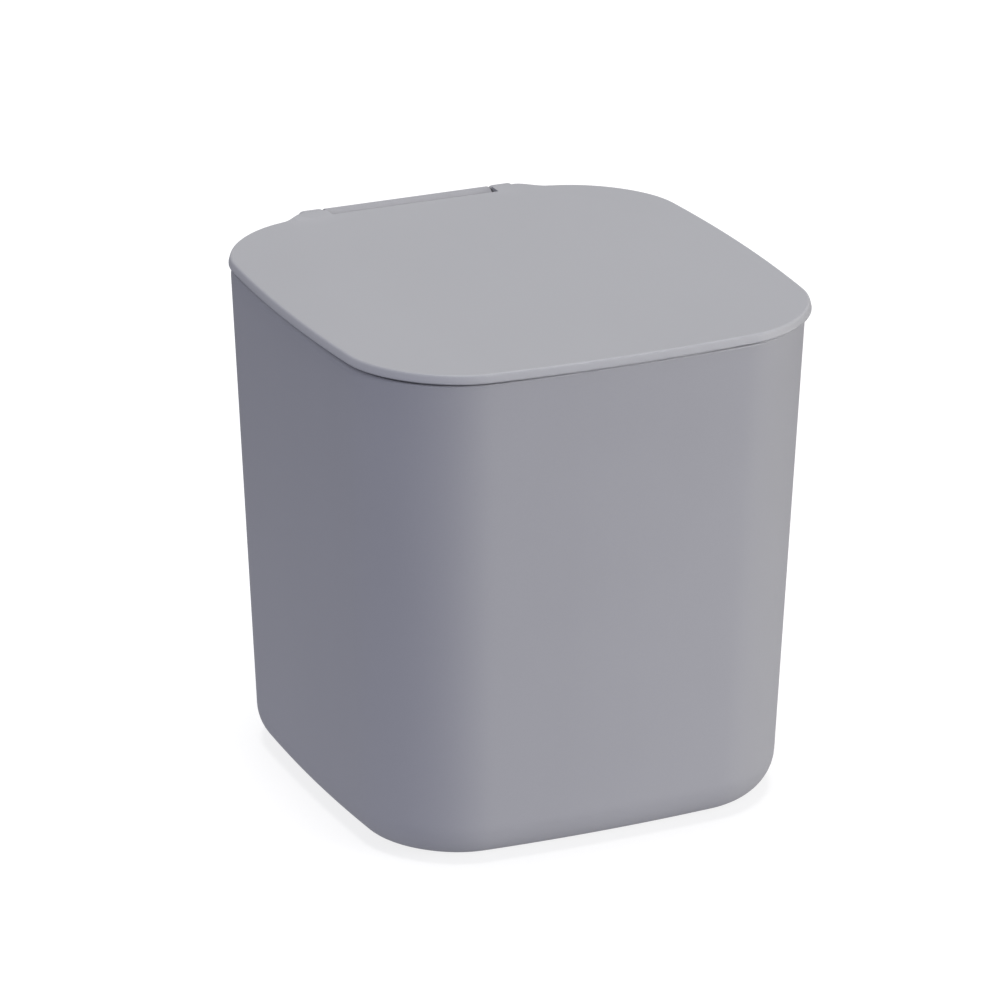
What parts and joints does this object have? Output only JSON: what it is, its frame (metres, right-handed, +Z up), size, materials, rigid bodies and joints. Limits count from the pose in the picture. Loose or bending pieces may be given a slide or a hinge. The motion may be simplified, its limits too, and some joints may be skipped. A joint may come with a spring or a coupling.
{
  "type": "push-top countertop bin",
  "caption": "Small grey plastic countertop bin: tapered rounded-square bucket, rim frame set inside its lip, and a flat press-to-open lid on a rear hinge with a push-push claw latch under its front edge.",
  "frame": {"origin": "under the middle of the overall width and depth, on the plane that the feet stand on", "axes": "+Z up, -Y the front where the lid is pressed, +Y the hinge side, +X to the right of someone facing the front"},
  "size_m": [0.115, 0.125, 0.12],
  "materials": {
    "body_plastic": "fine-grained moulded polypropylene, cool mid grey, low sheen",
    "frame_plastic": "the same moulded grey, a shade lighter on the rim's edge",
    "lid_plastic": "smooth moulded polypropylene, cool mid grey, low sheen",
    "latch_white": "natural white acetal, faintly waxy",
    "latch_grey": "dark grey moulded acetal",
    "steel": "bright plated steel with drawing marks",
    "spring_steel": "drawn spring wire, slightly darker than the pin",
    "pad_rubber": "matte soft rubber"
  },
  "bodies": {
    "bin": {"bucket": "body_plastic", "rim_frame": "frame_plastic", "latch_housing": "latch_grey", "latch_screws": "steel", "latch_spring": "spring_steel", "latch_clip": "steel", "foot_front_left": "pad_rubber", "foot_front_right": "pad_rubber", "foot_rear_left": "pad_rubber", "foot_rear_right": "pad_rubber"},
    "pin": {"hinge_pin": "steel", "torsion_spring": "spring_steel"},
    "lid": {"lid": "lid_plastic", "striker": "latch_white"},
    "plunger": {"latch_plunger": "latch_white", "jaw_pins": "steel"},
    "jaw_left": {"jaw_left": "latch_grey"},
    "jaw_right": {"jaw_right": "latch_grey"},
    "cam_pin": {"cam_pin": "spring_steel"}
  },
  "joints": [
    {"name": "lid_press", "type": "hinge", "parent": "bin", "child": "pin", "pos_m": [0, 0.059, 0.1163], "axis": [-1, 0, 0], "range_deg": [-0.38, 3], "stiffness_Nm_per_rad": 30},
    {"name": "lid_swing", "type": "hinge", "parent": "pin", "child": "lid", "pos_m": [0, 0.059, 0.1163], "axis": [-1, 0, 0], "range_deg": [0, 82]},
    {"name": "latch_slide", "type": "slide", "parent": "bin", "child": "plunger", "axis": [0, 0, 1], "range_m": [-0.0008, 0.0058], "deforming": ["latch_spring"]},
    {"name": "jaw_left_pivot", "type": "hinge", "parent": "plunger", "child": "jaw_left", "pos_m": [-0.003, -0.0478, 0.1045], "axis": [0, -1, 0], "range_deg": [-4, 19]},
    {"name": "jaw_right_pivot", "type": "hinge", "parent": "plunger", "child": "jaw_right", "pos_m": [0.003, -0.0478, 0.1045], "axis": [0, 1, 0], "range_deg": [-4, 19]},
    {"name": "cam_pin_swing", "type": "hinge", "parent": "bin", "child": "cam_pin", "pos_m": [0, -0.0478, 0.0906], "axis": [0, 1, 0], "range_deg": [-1, 5.5]}
  ],
  "couplings": [
    {"joint": "latch_slide", "follows": "lid_press", "m_per_rad": 0.1066},
    {"joint": "jaw_left_pivot", "follows": "lid_press", "ratio": 6},
    {"joint": "jaw_right_pivot", "follows": "lid_press", "ratio": 6},
    {"joint": "cam_pin_swing", "follows": "lid_press", "ratio": 1.6667}
  ]
}
